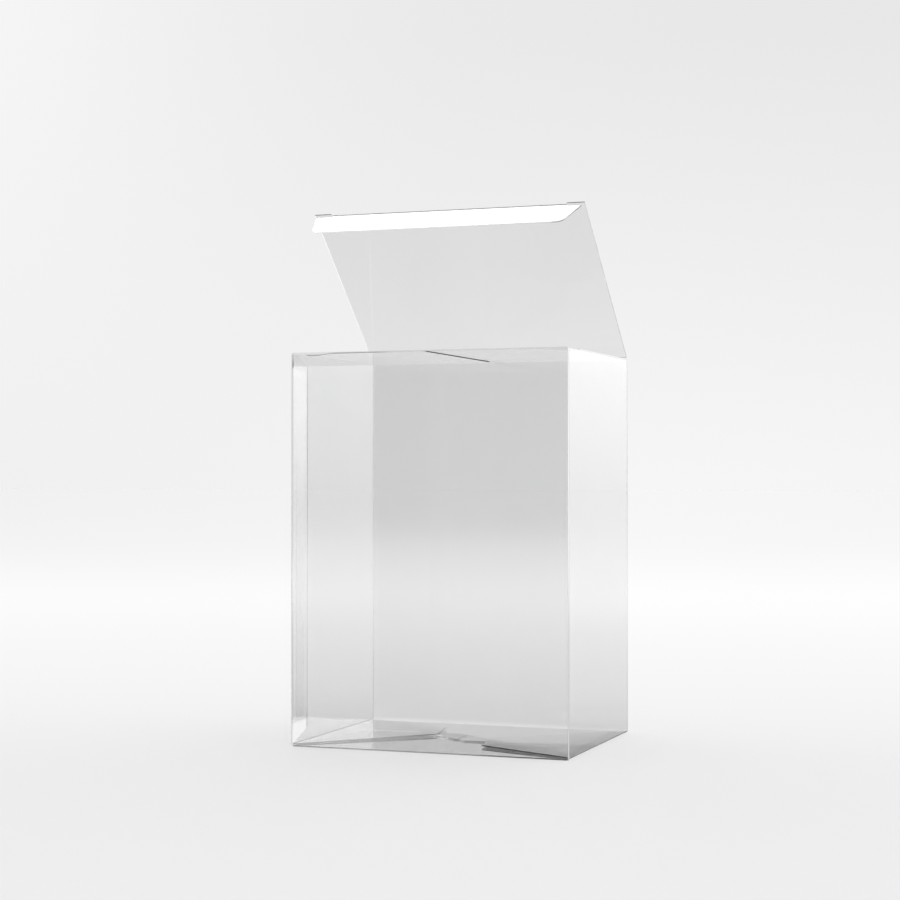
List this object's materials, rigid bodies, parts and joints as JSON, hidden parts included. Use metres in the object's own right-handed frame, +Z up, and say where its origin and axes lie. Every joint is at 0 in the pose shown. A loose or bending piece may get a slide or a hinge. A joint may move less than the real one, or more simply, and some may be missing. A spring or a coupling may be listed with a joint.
{
  "type": "clear folding box with tuck-in lid",
  "caption": "Clear plastic folding box with a hinged tuck-in lid, dust flaps under it and an interlocking fold-out base, shown with the lid part open.",
  "frame": {"origin": "middle of the footprint, on the surface that the box stands on", "axes": "+X along the front to the right, +Y from the front panel to the back panel, +Z up"},
  "size_m": [0.11, 0.082, 0.2046],
  "materials": {
    "clear_sheet": "clear, smooth and glossy",
    "clear_fold": "clear, pressed crease",
    "clear_adhesive": "clear, cured glue"
  },
  "bodies": {
    "box": {"front_panel": "clear_sheet", "right_panel": "clear_sheet", "back_panel": "clear_sheet", "left_panel": "clear_sheet", "glue_flap": "clear_sheet", "seam_adhesive": "clear_adhesive", "front_left_fold": "clear_fold", "front_right_fold": "clear_fold", "back_right_fold": "clear_fold", "back_left_fold": "clear_fold", "front_base_fold": "clear_fold", "back_base_fold": "clear_fold", "left_base_fold": "clear_fold", "right_base_fold": "clear_fold", "front_base_flap": "clear_sheet", "back_base_flap": "clear_sheet", "left_base_flap": "clear_sheet", "right_base_flap": "clear_sheet", "front_glue_tab": "clear_sheet", "back_glue_tab": "clear_sheet", "front_tab_fold": "clear_fold", "back_tab_fold": "clear_fold", "front_tab_adhesive": "clear_adhesive", "back_tab_adhesive": "clear_adhesive", "left_dust_fold": "clear_fold", "right_dust_fold": "clear_fold", "lid_fold": "clear_fold"},
    "lid": {"lid_panel": "clear_sheet", "tuck_fold": "clear_fold"},
    "tuck": {"tuck_flap": "clear_sheet"},
    "left_dust": {"left_dust_flap": "clear_sheet"},
    "right_dust": {"right_dust_flap": "clear_sheet"}
  },
  "joints": [
    {"name": "lid_hinge", "type": "hinge", "parent": "box", "child": "lid", "pos_m": [0, 0.0408, 0.1498], "axis": [-1, 0, 0], "range_deg": [-42.2, 86]},
    {"name": "tuck_hinge", "type": "hinge", "parent": "lid", "child": "tuck", "pos_m": [0, -0.01883, 0.20387], "axis": [-1, 0, 0], "range_deg": [-35.1, 71.4]},
    {"name": "left_dust_hinge", "type": "hinge", "parent": "box", "child": "left_dust", "pos_m": [-0.0546, 0, 0.1489], "axis": [0, 1, 0], "range_deg": [0, 80]},
    {"name": "right_dust_hinge", "type": "hinge", "parent": "box", "child": "right_dust", "pos_m": [0.0546, 0, 0.1489], "axis": [0, -1, 0], "range_deg": [0, 80]}
  ],
  "couplings": [
    {"joint": "tuck_hinge", "follows": "lid_hinge", "ratio": 0.83}
  ]
}
